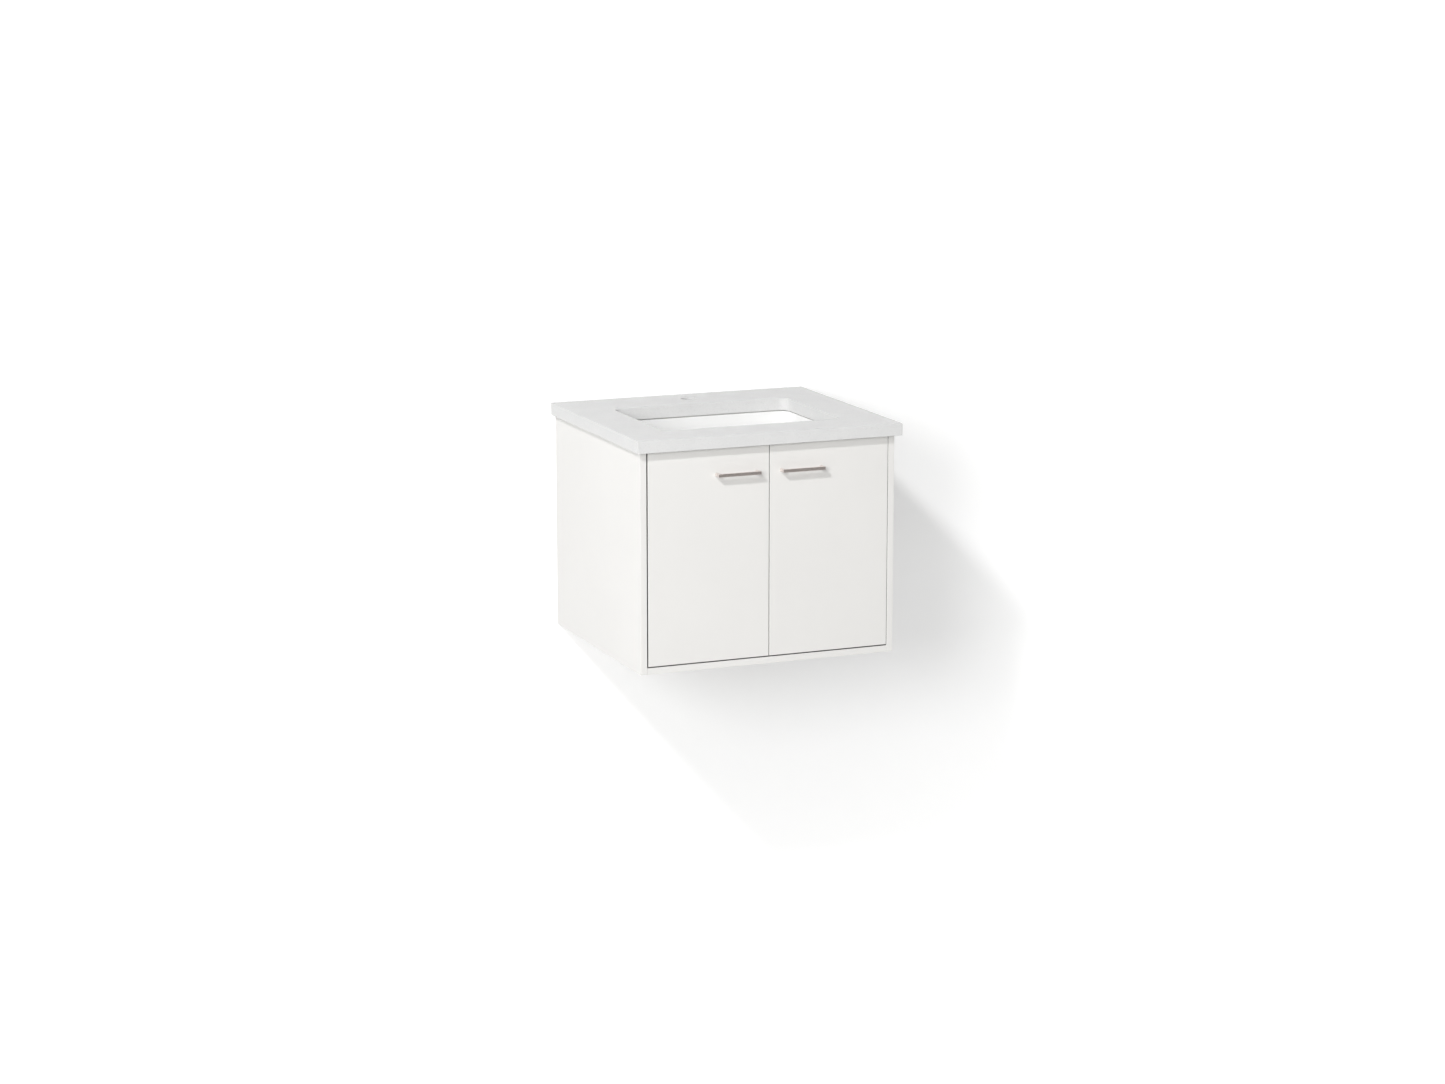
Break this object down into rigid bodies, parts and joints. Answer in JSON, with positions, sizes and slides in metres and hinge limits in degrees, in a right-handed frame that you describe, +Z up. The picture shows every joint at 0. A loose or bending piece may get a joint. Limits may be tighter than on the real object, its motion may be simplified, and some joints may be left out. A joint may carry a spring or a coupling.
{
  "type": "bathroom vanity cabinet",
  "caption": "Wall-hung white vanity cabinet with hinged slab doors, flat-bar pulls, a pale stone countertop and a rectangular undermount basin.",
  "frame": {"origin": "centre of the wall-fixing hole pattern, on the wall plane at the back of the cabinet", "axes": "+X to the right seen from the front, +Y towards the wall, +Z up"},
  "size_m": [0.635, 0.568, 0.528],
  "materials": {
    "lacquer": "satin white lacquer on board",
    "melamine": "matt white melamine on board",
    "quartz": "polished off-white engineered stone",
    "porcelain": "gloss white glaze",
    "silicone": "translucent white silicone",
    "pull_steel": "fine brushed, nickel tone",
    "hinge_nickel": "nickel plated pressed steel",
    "screw_zinc": "zinc plated",
    "clip_steel": "galvanised",
    "brass": "turned brass",
    "beech": "fluted beech dowel",
    "bumper": "clear soft bumper"
  },
  "bodies": {
    "cabinet": {"side_panel_left": "lacquer", "side_panel_right": "lacquer", "bottom_panel": "lacquer", "front_rail": "melamine", "hanging_rail": "melamine", "lower_rail": "melamine", "corner_blocks": "melamine", "shelf": "melamine", "shelf_pins": "screw_zinc", "dowels": "beech", "cam_locks": "screw_zinc", "cam_bolts": "screw_zinc", "countertop": "quartz", "sink_basin": "porcelain", "sink_sealant": "silicone", "sink_clips": "clip_steel", "sink_clip_studs": "screw_zinc", "sink_clip_inserts": "brass", "sink_wing_nuts": "clip_steel", "hinge_arms_left": "hinge_nickel", "hinge_plates_left": "hinge_nickel", "hinge_plate_screws_left": "screw_zinc", "hinge_adjusting_screws_left": "screw_zinc", "hinge_arms_right": "hinge_nickel", "hinge_plates_right": "hinge_nickel", "hinge_plate_screws_right": "screw_zinc", "hinge_adjusting_screws_right": "screw_zinc"},
    "door_left": {"door_left": "lacquer", "pull_left": "pull_steel", "pull_screws_left": "screw_zinc", "door_bumpers_left": "bumper", "hinge_cups_left": "hinge_nickel", "hinge_cup_screws_left": "screw_zinc"},
    "outer_links_left": {"hinge_outer_links_left": "hinge_nickel"},
    "inner_links_left": {"hinge_inner_links_left": "hinge_nickel"},
    "door_right": {"door_right": "lacquer", "pull_right": "pull_steel", "pull_screws_right": "screw_zinc", "door_bumpers_right": "bumper", "hinge_cups_right": "hinge_nickel", "hinge_cup_screws_right": "screw_zinc"},
    "outer_links_right": {"hinge_outer_links_right": "hinge_nickel"},
    "inner_links_right": {"hinge_inner_links_right": "hinge_nickel"}
  },
  "joints": [
    {"name": "door_left_swing", "type": "hinge", "parent": "cabinet", "child": "door_left", "pos_m": [-0.2885, -0.548, 0.00725], "axis": [0, 0, -1], "range_deg": [0, 105]},
    {"name": "outer_links_left_turn", "type": "hinge", "parent": "cabinet", "child": "outer_links_left", "pos_m": [-0.2625, -0.5335, 0], "axis": [0, 0, -1], "range_deg": [0, 105]},
    {"name": "inner_links_left_turn", "type": "hinge", "parent": "door_left", "child": "inner_links_left", "pos_m": [-0.272, -0.5345, 0], "axis": [0, 0, -1], "range_deg": [-105, 0]},
    {"name": "door_right_swing", "type": "hinge", "parent": "cabinet", "child": "door_right", "pos_m": [0.2885, -0.548, 0.00725], "axis": [0, 0, 1], "range_deg": [0, 105]},
    {"name": "outer_links_right_turn", "type": "hinge", "parent": "cabinet", "child": "outer_links_right", "pos_m": [0.2625, -0.5335, 0], "axis": [0, 0, 1], "range_deg": [0, 105]},
    {"name": "inner_links_right_turn", "type": "hinge", "parent": "door_right", "child": "inner_links_right", "pos_m": [0.272, -0.5345, 0], "axis": [0, 0, 1], "range_deg": [-105, 0]}
  ],
  "couplings": [
    {"joint": "outer_links_left_turn", "follows": "door_left_swing", "ratio": 1},
    {"joint": "inner_links_left_turn", "follows": "door_left_swing", "ratio": -1},
    {"joint": "outer_links_right_turn", "follows": "door_right_swing", "ratio": 1},
    {"joint": "inner_links_right_turn", "follows": "door_right_swing", "ratio": -1}
  ]
}
